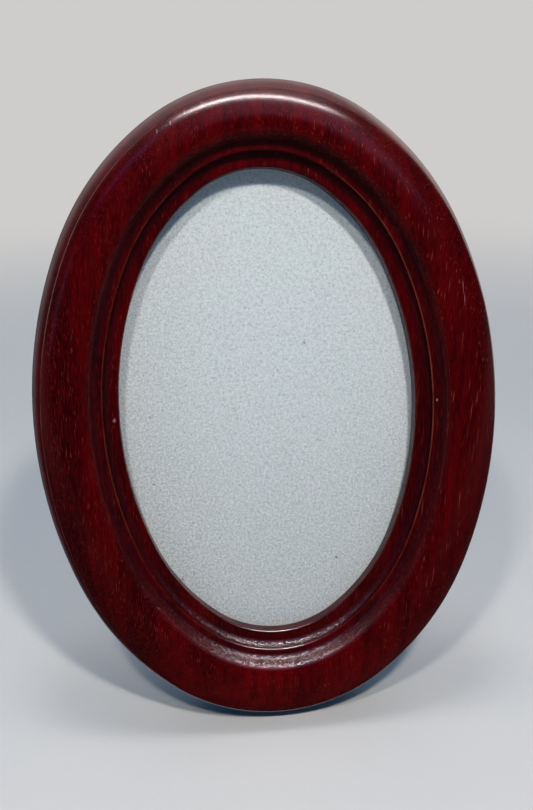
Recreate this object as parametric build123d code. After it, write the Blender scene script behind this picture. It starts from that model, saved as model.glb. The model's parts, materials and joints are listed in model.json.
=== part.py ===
from build123d import *
import os
from math import acos, atan2, cos, degrees, hypot, radians, sin, sqrt

# An oval table frame of stained wood for a 10 by 15 cm print. It leans back on a hinged strut.
# Sizes are in millimetres and angles in degrees. The picture frame of reference used by most
# functions has x to the right, y up along the picture and z forward, with the back of the wood at z = 0.

# Print and the oval of the sight edge
PRINT_WIDTH = 101.6
PRINT_HEIGHT = 152.4
LIP_COVER = 5.8
SIDE_RADIUS_SHARE = 0.95
END_RADIUS_SHARE = 1.06

# Section of the moulding, from the sight edge outward
SIGHT_WALL = 5.0
LOWER_FILLET = 2.2
LOWER_COVE = 2.3
LOWER_RISER = 1.0
UPPER_FILLET = 1.1
UPPER_COVE = 2.2
UPPER_RISER = 1.9
FACE_INNER = 5.4
FACE_OUTER = 10.0
FACE_DROP = 4.5
QUIRK_STEP = 0.5
EDGE_INSET = 1.9
EDGE_ROUND = 5.0
ARRIS_ROUND = 0.35
FACE_ROUND = 2.0
BACK_ROUND = 0.8

# Layers held in the rabbet
GLASS_THICKNESS = 2.0
GLASS_ARRIS = 0.3
PAPER_THICKNESS = 0.3
CARD_THICKNESS = 1.2
BOARD_THICKNESS = 2.65
FLOCK_THICKNESS = 0.35
RABBET_PLAY = 0.5
LAYER_TRIM = 0.3

# Stance
LEAN = 17.0
STRUT_OPENING = 28.0
FLAT_SETBACK = 1.2

# Strut
STRUT_THICKNESS = 2.2
STRUT_TOP_WIDTH = 28.0
STRUT_FOOT_WIDTH = 40.0
STRUT_CORNER = 5.0
FOLDED_GAP = 0.3

# Hinge
HINGE_RISE = 26.0
HINGE_WIDTH = 34.0
BOARD_LEAF_LENGTH = 17.0
STRUT_LEAF_LENGTH = 17.0
LEAF_SHEET = 0.8
LEAF_CORNER = 2.0
OUTER_KNUCKLE = 6.0
CENTRE_KNUCKLE = 12.0
KNUCKLE_PLAY = 0.1
SIDE_PLAY = 0.3
PIN_FIT = 0.05
PIN_HEAD = 0.6
PIN_HEAD_OVERLAP = 0.5
STOP_PLAY = 0.05

# Rivets
RIVET_RADIUS = 1.5
RIVET_HEAD_RADIUS = 2.6
RIVET_HEAD_HEIGHT = 1.1
RIVET_TAIL_RADIUS = 2.2
RIVET_TAIL_HEIGHT = 0.6
RIVET_FIT = 0.05
BOARD_RIVET_SPACING = 20.0
BOARD_RIVET_RISE = 11.0
STRUT_RIVET_SPACING = 11.0
STRUT_RIVET_DROP = 11.0

# Turn buttons and their screws
BUTTON_ANGLE = 30.0
BUTTON_SHEET = 1.0
BUTTON_HOLD = 5.0
BUTTON_HEEL = 4.4
BUTTON_TIP = 3.0
BUTTON_PLAY = 0.1
BUTTON_EDGE = 0.3
BUTTON_RING_SHARE = 0.5
SCREW_RADIUS = 1.3
SCREW_FIT = 0.05
SCREW_LENGTH = 10.0
SCREW_POINT = 2.5
SCREW_HEAD_RADIUS = 2.7
SCREW_HEAD_HEIGHT = 1.6
SCREW_SLOT_WIDTH = 0.7
SCREW_SLOT_DEPTH = 0.8

# Sawtooth hanger and its nails
HANGER_LENGTH = 42.0
HANGER_HEIGHT = 9.0
HANGER_SHEET = 0.7
HANGER_LIFT = 1.6
HANGER_RAMP = 2.0
HANGER_BRIDGE = 25.0
HANGER_CORNER = 2.0
HANGER_RING_SHARE = 0.45
TOOTH_COUNT = 7
TOOTH_PITCH = 3.0
TOOTH_DEPTH = 1.8
NAIL_SPACING = 35.0
NAIL_RADIUS = 0.7
NAIL_LENGTH = 9.0
NAIL_HEAD_RADIUS = 1.8
NAIL_HEAD_HEIGHT = 0.7
NAIL_FIT = 0.05

# Length by which a cut runs past the faces that it opens
OVERRUN = 1.0

# Worked out from the sizes above
SIGHT_HALF_WIDTH = PRINT_WIDTH / 2 - LIP_COVER
SIGHT_HALF_HEIGHT = PRINT_HEIGHT / 2 - LIP_COVER
FACE_START = LOWER_FILLET + LOWER_COVE + UPPER_FILLET + UPPER_COVE
FACE_END = FACE_START + FACE_INNER + FACE_OUTER
RAIL_WIDTH = FACE_END + EDGE_INSET
RABBET_OFFSET = LIP_COVER + RABBET_PLAY
BACKING_DEPTH = FLOCK_THICKNESS + BOARD_THICKNESS
RABBET_DEPTH = BACKING_DEPTH + CARD_THICKNESS + PAPER_THICKNESS + GLASS_THICKNESS
STRUT_DEPTH = STRUT_THICKNESS + 2 * FLOCK_THICKNESS
KNUCKLE_RADIUS = (FOLDED_GAP + STRUT_DEPTH + LEAF_SHEET - KNUCKLE_PLAY) / 2
AXIS_HEIGHT = KNUCKLE_RADIUS + KNUCKLE_PLAY
BORE_RADIUS = KNUCKLE_RADIUS - LEAF_SHEET
PIN_RADIUS = BORE_RADIUS - PIN_FIT
STRUT_REAR = -BORE_RADIUS
STRUT_TOP = KNUCKLE_RADIUS + SIDE_PLAY
HALF_HEIGHT = SIGHT_HALF_HEIGHT + RAIL_WIDTH
BUTTON_OFFSET = RABBET_OFFSET + BUTTON_RING_SHARE * (RAIL_WIDTH - RABBET_OFFSET)
HANGER_OFFSET = RABBET_OFFSET + HANGER_RING_SHARE * (RAIL_WIDTH - RABBET_OFFSET)
SCREW_SEAT = BUTTON_SHEET + 2 * BUTTON_PLAY
FROM_BACK = (Align.CENTER, Align.CENTER, Align.MIN)


# The oval

def oval_arcs():
    """Eight tangent arcs that follow the sight ellipse: centre x and y, radius, first and last angle."""
    side = SIDE_RADIUS_SHARE * SIGHT_HALF_HEIGHT**2 / SIGHT_HALF_WIDTH
    shoulder = sqrt(SIGHT_HALF_WIDTH * SIGHT_HALF_HEIGHT)
    end = END_RADIUS_SHARE * SIGHT_HALF_WIDTH**2 / SIGHT_HALF_HEIGHT
    # The centres of one quarter are joined by two links, which reach from the side centre to the end centre.
    side_x = SIGHT_HALF_WIDTH - side
    end_y = SIGHT_HALF_HEIGHT - end
    first_link = side - shoulder
    second_link = shoulder - end
    reach = hypot(side_x, end_y)
    bend = acos((first_link**2 + reach**2 - second_link**2) / (2 * first_link * reach))
    low = atan2(end_y, -side_x) - bend
    shoulder_x = side_x + first_link * cos(low)
    shoulder_y = first_link * sin(low)
    high = atan2(end_y - shoulder_y, -shoulder_x)
    low = degrees(low)
    high = degrees(high)
    return [
        (side_x, 0, side, -low, low),
        (shoulder_x, shoulder_y, shoulder, low, high),
        (0, end_y, end, high, 180 - high),
        (-shoulder_x, shoulder_y, shoulder, 180 - high, 180 - low),
        (-side_x, 0, side, 180 - low, 180 + low),
        (-shoulder_x, -shoulder_y, shoulder, 180 + low, 180 + high),
        (0, -end_y, end, 180 + high, 360 - high),
        (shoulder_x, -shoulder_y, shoulder, 360 - high, 360 - low),
    ]


def oval_path(offset):
    """The oval that runs at a constant distance outside the sight edge."""
    edges = []
    for x, y, radius, first, last in oval_arcs():
        edges.append(Edge.make_circle(radius + offset, Plane((x, y, 0)), first, last))
    return Wire(edges)


def oval_plate(offset, bottom, thickness):
    """A flat oval layer."""
    return Pos(0, 0, bottom) * extrude(Face(oval_path(offset)), thickness)


def rail_point(angle, offset):
    """The point outside the sight edge where the oval faces the given angle."""
    for x, y, radius, first, last in oval_arcs():
        if first <= angle <= last:
            reach = radius + offset
            return (x + reach * cos(radians(angle)), y + reach * sin(radians(angle)))
    return rail_point(angle - 360, offset)


# The moulding

def nearest_corner(shape, point):
    return shape.vertices().sort_by_distance(point)[0]


def moulding_section():
    """The rail's section: x runs outward from the sight edge, y forward from the back of the wood."""
    sight = RABBET_DEPTH + SIGHT_WALL
    arris_x = LOWER_FILLET + LOWER_COVE
    arris = sight + LOWER_COVE + LOWER_RISER
    upper_end = arris_x + UPPER_FILLET
    cove_top = arris + UPPER_COVE
    face_inner = cove_top + UPPER_RISER
    face_radius = (FACE_OUTER**2 + FACE_DROP**2) / (2 * FACE_DROP)
    crest = face_inner + face_radius - sqrt(face_radius**2 - FACE_INNER**2)
    quirk = crest - FACE_DROP - QUIRK_STEP
    flank = quirk - sqrt(EDGE_ROUND**2 - (EDGE_ROUND - EDGE_INSET) ** 2)
    with BuildSketch() as section:
        with BuildLine():
            Polyline((0, RABBET_DEPTH), (0, sight), (LOWER_FILLET, sight))
            JernArc((LOWER_FILLET, sight), (1, 0), LOWER_COVE, 90)
            Polyline((arris_x, sight + LOWER_COVE), (arris_x, arris), (upper_end, arris))
            JernArc((upper_end, arris), (1, 0), UPPER_COVE, 90)
            Line((FACE_START, cove_top), (FACE_START, face_inner))
            ThreePointArc(
                (FACE_START, face_inner), (FACE_START + FACE_INNER, crest), (FACE_END, crest - FACE_DROP)
            )
            Line((FACE_END, crest - FACE_DROP), (FACE_END, quirk))
            RadiusArc((FACE_END, quirk), (RAIL_WIDTH, flank), EDGE_ROUND)
            Polyline((RAIL_WIDTH, flank), (RAIL_WIDTH, 0), (RABBET_OFFSET, 0))
            Polyline((RABBET_OFFSET, 0), (RABBET_OFFSET, RABBET_DEPTH), (0, RABBET_DEPTH))
        make_face()
        for arris_point in ((0, sight), (arris_x, arris)):
            fillet(nearest_corner(section.sketch, arris_point), ARRIS_ROUND)
        fillet(nearest_corner(section.sketch, (FACE_START, face_inner)), FACE_ROUND)
        fillet(nearest_corner(section.sketch, (RAIL_WIDTH, 0)), BACK_ROUND)
    return section.sketch.faces()[0]


def oval_moulding():
    """The wood: the section carried round the oval, with pilot holes for the screws and nails."""
    path = oval_path(0)
    ahead = path % 0
    start = Plane(path @ 0, x_dir=ahead.cross(Vector(0, 0, 1)), z_dir=-ahead)
    wood = sweep(start * moulding_section(), path)
    screw_hole = Cylinder(SCREW_RADIUS + SCREW_FIT, SCREW_LENGTH + SCREW_FIT, align=FROM_BACK)
    nail_hole = Cylinder(NAIL_RADIUS + NAIL_FIT, NAIL_LENGTH + NAIL_FIT, align=FROM_BACK)
    wood -= [Pos(*rail_point(angle, BUTTON_OFFSET)) * screw_hole for angle in button_angles().values()]
    wood -= [Pos(*place) * nail_hole for place in nail_places()]
    return wood


# The layers in the rabbet

def glass_pane():
    pane = oval_plate(LIP_COVER, RABBET_DEPTH - GLASS_THICKNESS, GLASS_THICKNESS)
    rims = pane.faces().filter_by(Axis.Z).edges()
    return chamfer(rims, GLASS_ARRIS)


def photo_insert():
    return oval_plate(LIP_COVER - LAYER_TRIM, BACKING_DEPTH + CARD_THICKNESS, PAPER_THICKNESS)


def filler_card():
    return oval_plate(LIP_COVER - LAYER_TRIM, BACKING_DEPTH, CARD_THICKNESS)


def board_rivet_places():
    return [(side * BOARD_RIVET_SPACING / 2, HINGE_RISE + BOARD_RIVET_RISE) for side in (-1, 1)]


def back_board():
    board = oval_plate(LIP_COVER, FLOCK_THICKNESS, BOARD_THICKNESS)
    return board - [Pos(*place, BACKING_DEPTH) * rivet_hole(BACKING_DEPTH) for place in board_rivet_places()]


def back_board_flock():
    flock = oval_plate(LIP_COVER, 0, FLOCK_THICKNESS)
    return flock - [Pos(*place, BACKING_DEPTH) * rivet_hole(BACKING_DEPTH) for place in board_rivet_places()]


# Rivets. They stand along z with the flared tail flush at z = 0 and the domed head at the rear.

def rivet_hole(depth):
    shank = Pos(0, 0, -depth - OVERRUN) * Cylinder(
        RIVET_RADIUS + RIVET_FIT, depth + OVERRUN, align=FROM_BACK
    )
    tail = Pos(0, 0, -RIVET_TAIL_HEIGHT) * Cylinder(
        RIVET_TAIL_RADIUS + RIVET_FIT, RIVET_TAIL_HEIGHT, align=FROM_BACK
    )
    return shank + tail


def rivet(grip):
    """A rivet that holds a stack of the given depth."""
    with BuildSketch(Plane.XZ) as half:
        with BuildLine():
            Polyline((0, -grip - RIVET_HEAD_HEIGHT), (0, 0), (RIVET_TAIL_RADIUS, 0))
            Line((RIVET_TAIL_RADIUS, 0), (RIVET_RADIUS, -RIVET_TAIL_HEIGHT))
            Polyline((RIVET_RADIUS, -RIVET_TAIL_HEIGHT), (RIVET_RADIUS, -grip), (RIVET_HEAD_RADIUS, -grip))
            dome = (RIVET_HEAD_RADIUS**2 + RIVET_HEAD_HEIGHT**2) / (2 * RIVET_HEAD_HEIGHT)
            RadiusArc((RIVET_HEAD_RADIUS, -grip), (0, -grip - RIVET_HEAD_HEIGHT), dome)
        make_face()
    return revolve(half.sketch, Axis.Z)


def hinge_board_rivets():
    body = rivet(BACKING_DEPTH + LEAF_SHEET)
    return Compound([Pos(*place, BACKING_DEPTH) * body for place in board_rivet_places()])


# The hinge, drawn about its axis: x runs along the pin, y up and z towards the back board

def knuckle(left, right):
    """A rolled barrel between two places along the pin."""
    length = right - left
    barrel = Cylinder(KNUCKLE_RADIUS, length) - Cylinder(BORE_RADIUS, length + 2 * OVERRUN)
    return Pos((left + right) / 2, 0, 0) * Rot(Y=90) * barrel


def leaf_plate(width, low, high, front):
    """A flat sheet of the hinge, centred on x."""
    plate = Box(width, high - low, LEAF_SHEET)
    return Pos(0, (low + high) / 2, front - LEAF_SHEET / 2) * plate


def rounded_end(plate, end):
    """The sheet with the two corners at one end rounded."""
    upright = plate.edges().filter_by(Axis.Z)
    return fillet(upright.group_by(Axis.Y)[end], LEAF_CORNER)


def leaf_hole(spacing, height, front):
    drill = Cylinder(RIVET_RADIUS + RIVET_FIT, LEAF_SHEET + 2 * OVERRUN)
    return [Pos(side * spacing / 2, height, front - LEAF_SHEET / 2) * drill for side in (-1, 1)]


def hinge_board_leaf():
    """The leaf on the back board, with an outer knuckle at each side and a notch for the strut's leaf."""
    half = HINGE_WIDTH / 2
    plate = rounded_end(leaf_plate(HINGE_WIDTH, 0, BOARD_LEAF_LENGTH, AXIS_HEIGHT), -1)
    notch_width = HINGE_WIDTH - 2 * OUTER_KNUCKLE
    notch_top = KNUCKLE_RADIUS + SIDE_PLAY
    notch = Pos(0, notch_top / 2, AXIS_HEIGHT) * Box(notch_width, notch_top, 2 * LEAF_SHEET + OVERRUN)
    leaf = plate - notch + knuckle(-half, OUTER_KNUCKLE - half) + knuckle(half - OUTER_KNUCKLE, half)
    return leaf - leaf_hole(BOARD_RIVET_SPACING, BOARD_RIVET_RISE, AXIS_HEIGHT)


def stop_reach():
    """How far the stop tabs rise above the axis to meet the board's leaf at the full opening."""
    opening = radians(STRUT_OPENING)
    travel = AXIS_HEIGHT - LEAF_SHEET - STOP_PLAY + BORE_RADIUS * cos(opening)
    return travel / sin(opening)


def hinge_strut_leaf():
    """The leaf on the strut: a centre knuckle between two tabs that stop the strut at its full opening."""
    width = HINGE_WIDTH - 2 * (OUTER_KNUCKLE + SIDE_PLAY)
    plate = rounded_end(leaf_plate(width, -STRUT_LEAF_LENGTH, stop_reach(), -BORE_RADIUS), 0)
    gap = stop_reach() + OVERRUN
    relief = Pos(0, gap / 2, -BORE_RADIUS) * Box(CENTRE_KNUCKLE, gap, 2 * LEAF_SHEET + OVERRUN)
    leaf = plate - relief + knuckle(-CENTRE_KNUCKLE / 2, CENTRE_KNUCKLE / 2)
    return leaf - leaf_hole(STRUT_RIVET_SPACING, -STRUT_RIVET_DROP, -BORE_RADIUS)


def hinge_pin():
    """The pin with a peened head at each end."""
    shank = Cylinder(PIN_RADIUS, HINGE_WIDTH + 2 * SIDE_PLAY)
    head = Cylinder(PIN_RADIUS + PIN_HEAD_OVERLAP, PIN_HEAD)
    head_place = (HINGE_WIDTH + PIN_HEAD) / 2 + SIDE_PLAY
    pin = shank + Pos(0, 0, -head_place) * head + Pos(0, 0, head_place) * head
    return Rot(Y=90) * pin


# The strut, drawn about the hinge axis as it lies when folded

def strut_length():
    """From the hinge axis down the strut to the table."""
    down = radians(STRUT_OPENING - LEAN)
    lean = radians(LEAN)
    rise = (HINGE_RISE + HALF_HEIGHT - FLAT_SETBACK) * cos(lean) - AXIS_HEIGHT * sin(lean)
    return rise / cos(down) + STRUT_DEPTH * sin(down)


def strut_outline():
    """A leg that widens towards its foot, with rounded corners."""
    foot = -strut_length()
    corners = [
        (-STRUT_TOP_WIDTH / 2, -STRUT_TOP),
        (-STRUT_FOOT_WIDTH / 2, foot),
        (STRUT_FOOT_WIDTH / 2, foot),
        (STRUT_TOP_WIDTH / 2, -STRUT_TOP),
    ]
    outline = make_face(Polyline(*corners, close=True))
    return fillet(outline.vertices(), STRUT_CORNER)


def strut_layer(bottom, thickness):
    front = STRUT_REAR + STRUT_DEPTH
    layer = Pos(0, 0, bottom) * extrude(strut_outline(), thickness)
    return layer - [Pos(*place, front) * rivet_hole(STRUT_DEPTH) for place in strut_rivet_places()]


def strut_rivet_places():
    return [(side * STRUT_RIVET_SPACING / 2, -STRUT_RIVET_DROP) for side in (-1, 1)]


def strut_board():
    return strut_layer(STRUT_REAR + FLOCK_THICKNESS, STRUT_THICKNESS)


def strut_flock():
    rear = strut_layer(STRUT_REAR, FLOCK_THICKNESS)
    front = strut_layer(STRUT_REAR + FLOCK_THICKNESS + STRUT_THICKNESS, FLOCK_THICKNESS)
    return Compound([rear.solid(), front.solid()])


def hinge_strut_rivets():
    body = rivet(STRUT_DEPTH + LEAF_SHEET)
    front = STRUT_REAR + STRUT_DEPTH
    return Compound([Pos(*place, front) * body for place in strut_rivet_places()])


# Turn buttons

def button_angles():
    """The way the oval faces at each turn button."""
    return {
        "upper_right": BUTTON_ANGLE,
        "upper_left": 180 - BUTTON_ANGLE,
        "lower_left": 180 + BUTTON_ANGLE,
        "lower_right": 360 - BUTTON_ANGLE,
    }


def turn_button(angle):
    """A flat stamped button round its screw, with its tip over the back board."""
    tip_place = BUTTON_OFFSET - LIP_COVER + BUTTON_HOLD - BUTTON_TIP
    heel = Circle(BUTTON_HEEL)
    tip = Pos(tip_place, 0) * Circle(BUTTON_TIP)
    outline = make_hull(heel.edges() + tip.edges())
    button = extrude(outline, BUTTON_SHEET)
    button = fillet(button.faces().sort_by(Axis.Z)[0].edges(), BUTTON_EDGE)
    button -= Cylinder(SCREW_RADIUS + SCREW_FIT, 2 * BUTTON_SHEET + OVERRUN)
    return Pos(*rail_point(angle, BUTTON_OFFSET), -BUTTON_PLAY - BUTTON_SHEET) * Rot(Z=angle + 180) * button


def screw():
    """A round-headed wood screw along z, with the back of the wood at z = 0."""
    with BuildSketch(Plane.XZ) as half:
        with BuildLine():
            Polyline((0, -SCREW_SEAT - SCREW_HEAD_HEIGHT), (0, SCREW_LENGTH))
            Line((0, SCREW_LENGTH), (SCREW_RADIUS, SCREW_LENGTH - SCREW_POINT))
            Line((SCREW_RADIUS, SCREW_LENGTH - SCREW_POINT), (SCREW_RADIUS, -SCREW_SEAT))
            Line((SCREW_RADIUS, -SCREW_SEAT), (SCREW_HEAD_RADIUS, -SCREW_SEAT))
            dome = (SCREW_HEAD_RADIUS**2 + SCREW_HEAD_HEIGHT**2) / (2 * SCREW_HEAD_HEIGHT)
            RadiusArc((SCREW_HEAD_RADIUS, -SCREW_SEAT), (0, -SCREW_SEAT - SCREW_HEAD_HEIGHT), dome)
        make_face()
    slot_floor = -SCREW_SEAT - SCREW_HEAD_HEIGHT + SCREW_SLOT_DEPTH
    slot = Box(2 * SCREW_HEAD_RADIUS + OVERRUN, SCREW_SLOT_WIDTH, SCREW_SLOT_DEPTH + OVERRUN)
    return revolve(half.sketch, Axis.Z) - Pos(0, 0, slot_floor - (SCREW_SLOT_DEPTH + OVERRUN) / 2) * slot


def turn_button_screws():
    return Compound([
        Pos(*rail_point(angle, BUTTON_OFFSET)) * Rot(Z=2 * angle) * screw()
        for angle in button_angles().values()
    ])


# Sawtooth hanger

def hanger_height():
    """How far the middle of the hanger lies above the middle of the picture."""
    return SIGHT_HALF_HEIGHT + HANGER_OFFSET


def nail_places():
    return [(side * NAIL_SPACING / 2, hanger_height()) for side in (-1, 1)]


def sawtooth_hanger():
    """A bent strip whose raised middle has teeth along its lower edge."""
    foot = HANGER_LENGTH / 2
    bridge = HANGER_BRIDGE / 2
    ramp = bridge + HANGER_RAMP
    with BuildSketch(Plane.XZ) as side:
        with BuildLine():
            Polyline((-foot, 0), (-ramp, 0), (-bridge, -HANGER_LIFT), (bridge, -HANGER_LIFT), (ramp, 0), (foot, 0))
            offset(amount=HANGER_SHEET, side=Side.RIGHT, closed=True)
        make_face()
    strip = extrude(side.sketch, HANGER_HEIGHT / 2, both=True)
    plan = extrude(RectangleRounded(HANGER_LENGTH, HANGER_HEIGHT, HANGER_CORNER), HANGER_LIFT + OVERRUN, both=True)
    strip &= plan
    notch = make_face(Polyline((-TOOTH_PITCH / 2, 0), (0, TOOTH_DEPTH), (TOOTH_PITCH / 2, 0), close=True))
    cutter = extrude(notch, HANGER_LIFT + OVERRUN, both=True)
    first = -(TOOTH_COUNT - 1) / 2
    strip -= [Pos((first + i) * TOOTH_PITCH, -HANGER_HEIGHT / 2, 0) * cutter for i in range(TOOTH_COUNT)]
    drill = Cylinder(NAIL_RADIUS + NAIL_FIT, HANGER_SHEET + 2 * OVERRUN)
    strip -= [Pos(side * NAIL_SPACING / 2, 0, 0) * drill for side in (-1, 1)]
    return Pos(0, hanger_height(), 0) * strip


def nail():
    """A round-headed nail along z, with the back of the wood at z = 0."""
    shank = Pos(0, 0, -HANGER_SHEET) * Cylinder(NAIL_RADIUS, NAIL_LENGTH + HANGER_SHEET, align=FROM_BACK)
    head = Pos(0, 0, -HANGER_SHEET - NAIL_HEAD_HEIGHT) * Cylinder(
        NAIL_HEAD_RADIUS, NAIL_HEAD_HEIGHT, align=FROM_BACK
    )
    head = chamfer(head.edges().sort_by(Axis.Z)[0], NAIL_HEAD_HEIGHT / 2)
    return shank + head


def hanger_nails():
    return Compound([Pos(*place) * nail() for place in nail_places()])


# Assembly

def standing():
    """Where the picture frame of reference stands: it leans back on the rear edge of the wood."""
    lean = radians(LEAN)
    up = Vector(0, sin(lean), cos(lean))
    return Plane(up * (HALF_HEIGHT - FLAT_SETBACK), x_dir=(1, 0, 0), z_dir=(0, -cos(lean), sin(lean))).location


def on_table(piece):
    """The piece with what would reach into the table taken off."""
    return split(piece, bisect_by=Plane.XY, keep=Keep.TOP)


def assembly():
    """Every piece by its node name, standing on the table."""
    picture = standing()
    hinge = picture * Pos(0, HINGE_RISE, -AXIS_HEIGHT)
    strut = hinge * Rot(X=STRUT_OPENING)
    pieces = {
        "oval_moulding": on_table(picture * oval_moulding()),
        "glass_pane": picture * glass_pane(),
        "photo_insert": picture * photo_insert(),
        "filler_card": picture * filler_card(),
        "back_board": picture * back_board(),
        "back_board_flock": picture * back_board_flock(),
        "hinge_board_rivets": picture * hinge_board_rivets(),
        "hinge_board_leaf": hinge * hinge_board_leaf(),
        "hinge_pin": hinge * hinge_pin(),
        "hinge_strut_leaf": strut * hinge_strut_leaf(),
        "hinge_strut_rivets": strut * hinge_strut_rivets(),
        "strut_board": on_table(strut * strut_board()),
        "strut_flock": on_table(strut * strut_flock()),
        "turn_button_screws": picture * turn_button_screws(),
        "sawtooth_hanger": picture * sawtooth_hanger(),
        "hanger_nails": picture * hanger_nails(),
    }
    for place, angle in button_angles().items():
        pieces[f"turn_button_{place}"] = picture * turn_button(angle)
    return pieces


def middle_depth(pieces):
    """Half way between the foremost and the rearmost point."""
    boxes = [piece.bounding_box() for piece in pieces.values()]
    return (min(box.min.Y for box in boxes) + max(box.max.Y for box in boxes)) / 2


PIECES = assembly()
# The origin lies on the table, under the middle of the whole.
CENTRED = Pos(0, -middle_depth(PIECES), 0)

os.makedirs("parts", exist_ok=True)
for name, piece in PIECES.items():
    export_step(CENTRED * piece, f"parts/{name}.step")
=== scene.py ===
import json
from math import acos, atan2, ceil, cos, degrees, hypot, radians, sin, sqrt

import bmesh
import bpy
import numpy as np
from mathutils import Matrix, Vector


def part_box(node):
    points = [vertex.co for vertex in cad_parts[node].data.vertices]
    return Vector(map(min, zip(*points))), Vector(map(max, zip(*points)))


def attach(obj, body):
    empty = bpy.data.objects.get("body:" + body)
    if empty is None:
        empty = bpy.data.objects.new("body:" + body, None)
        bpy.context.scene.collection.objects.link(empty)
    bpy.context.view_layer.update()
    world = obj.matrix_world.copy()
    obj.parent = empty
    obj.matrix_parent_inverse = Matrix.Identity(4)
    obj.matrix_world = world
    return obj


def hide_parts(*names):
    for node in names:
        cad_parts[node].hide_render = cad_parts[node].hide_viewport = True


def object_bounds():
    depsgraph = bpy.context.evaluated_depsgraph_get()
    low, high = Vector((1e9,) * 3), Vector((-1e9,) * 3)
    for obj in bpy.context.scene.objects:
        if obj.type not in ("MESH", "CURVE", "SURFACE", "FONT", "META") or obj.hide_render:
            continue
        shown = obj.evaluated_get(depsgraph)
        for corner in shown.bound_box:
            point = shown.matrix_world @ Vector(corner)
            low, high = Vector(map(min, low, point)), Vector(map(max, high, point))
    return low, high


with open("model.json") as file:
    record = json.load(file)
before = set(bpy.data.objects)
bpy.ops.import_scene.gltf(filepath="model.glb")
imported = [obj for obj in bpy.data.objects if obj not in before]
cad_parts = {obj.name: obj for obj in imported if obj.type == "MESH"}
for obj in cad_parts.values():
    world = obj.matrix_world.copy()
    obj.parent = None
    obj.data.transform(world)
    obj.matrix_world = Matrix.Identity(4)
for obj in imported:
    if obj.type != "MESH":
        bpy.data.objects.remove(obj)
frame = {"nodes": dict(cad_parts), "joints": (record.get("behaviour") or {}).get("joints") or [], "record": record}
CAD_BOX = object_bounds()

# An oval table frame of red stained wood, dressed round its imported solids. Lengths are in metres.
# The picture frame of reference has x to the right, y up along the picture and z forward,
# with the back of the wood at z = 0.
MM = 0.001


def colour(red, green, blue):
    """An opaque colour."""
    return (red, green, blue, 1.0)


def evenly(size):
    """The same size along x, y and z."""
    return (size, size, size)


# The moulding's oval and section, as its solid has them
LIP_COVER = 5.8 * MM
SIDE_RADIUS_SHARE = 0.95
END_RADIUS_SHARE = 1.06
SIGHT_WALL = 5.0 * MM
LOWER_FILLET = 2.2 * MM
LOWER_COVE = 2.3 * MM
LOWER_RISER = 1.0 * MM
UPPER_FILLET = 1.1 * MM
UPPER_COVE = 2.2 * MM
UPPER_RISER = 1.9 * MM
FACE_INNER = 5.4 * MM
FACE_OUTER = 10.0 * MM
FACE_DROP = 4.5 * MM
QUIRK_STEP = 0.5 * MM
EDGE_INSET = 1.9 * MM
BACK_ROUND = 0.8 * MM
RABBET_DEPTH = 6.5 * MM
RABBET_PLAY = 0.5 * MM
SIGHT_DEPTH = RABBET_DEPTH + SIGHT_WALL

# Forms that the solid has plainer: softer arrises, a softer inner round of the face, and a step between
# the upper cove and the face that leans by so many degrees
ARRIS_ROUND = 0.45 * MM
FACE_ROUND = 2.6 * MM
STEP_LEAN = 30

# The glass pane, as its solid has it but for a hair of room on both sides
GLASS_THICKNESS = 2.0 * MM
GLASS_ARRIS = 0.3 * MM
GLASS_CLEAR = 0.04 * MM

# The opening and face were shaped a little off the outside's centre, the face more so. The rounded edge
# beyond it is wide at the top left and narrow at the lower right, with a fine ledge where the two meet.
# The edge starts at a tilt of so many degrees.
INNER_SHIFT = (0.6 * MM, -0.4 * MM)
FACE_SHIFT = (0.95 * MM, -1.75 * MM)
EDGE_LEAST = 0.7 * MM
EDGE_TILT = 25
LEDGE_WIDTH = 0.22 * MM
LEDGE_SHARE = 0.4

# Away from its foot the outside is a little slimmer than the sight edge's offset, and it is fuller towards
# the upper right
OUTSIDE_SLIM = 0.55 * MM
OUTSIDE_SWELL = 1.35 * MM
OUTSIDE_SWELL_ANGLE = radians(55)
OUTSIDE_SWELL_POWER = 4

# How finely the moulding is meshed
STATION_LENGTH = 1.1 * MM
WALL_STEPS = 8
FILLET_STEPS = 4
COVE_STEPS = 12
RISER_STEPS = 3
ARRIS_STEPS = 4
ROUND_STEPS = 8
FACE_STEPS = 18
LEDGE_STEPS = 2
EDGE_STEPS = 12
BACK_STEPS = 10
SHARP_ANGLE = radians(40)

# What a point of the section is, which the wood's finish follows
PLAIN = "plain"
WORN = "worn"
HOLLOW = "hollow"
GROOVE = "groove"
OPEN = "open"
EDGE = "edge"

# Camera, found from the rings of the moulding in the photograph
IMAGE_HEIGHT = 810
FOCAL_PIXELS = 983.6
CAMERA_DISTANCE = 308.0 * MM
CAMERA_PITCH = radians(6.73)
CAMERA_YAW = radians(-5.56)
CAMERA_ROLL = radians(-2.34)
CAMERA_AIM = (0.86 * MM, -1.59 * MM)
CAMERA_NEAR = 10 * MM
SENSOR_HEIGHT = 36.0


# Places

def picture_place():
    """Where the picture stands, from the turn buttons' pivots at the back of the wood."""
    pivots = [joint for joint in frame["joints"] if joint["name"].endswith("swivel")]
    forward = Vector(pivots[0]["axis"]).normalized()
    centre = sum((Vector(joint["pos_m"]) for joint in pivots), Vector()) / len(pivots)
    right = Vector((1, 0, 0))
    place = Matrix((right, forward.cross(right), forward)).transposed().to_4x4()
    place.translation = centre
    return place


PICTURE = picture_place()
PRINT_HALF_WIDTH = (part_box("glass_pane")[1].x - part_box("glass_pane")[0].x) / 2
WOOD_HALF_WIDTH = (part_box("oval_moulding")[1].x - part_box("oval_moulding")[0].x) / 2
RAIL_WIDTH = WOOD_HALF_WIDTH - PRINT_HALF_WIDTH + LIP_COVER


def glass_corners():
    """The glass pane's points in the picture frame of reference."""
    back = PICTURE.inverted()
    return [back @ vertex.co for vertex in frame["nodes"]["glass_pane"].data.vertices]


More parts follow.
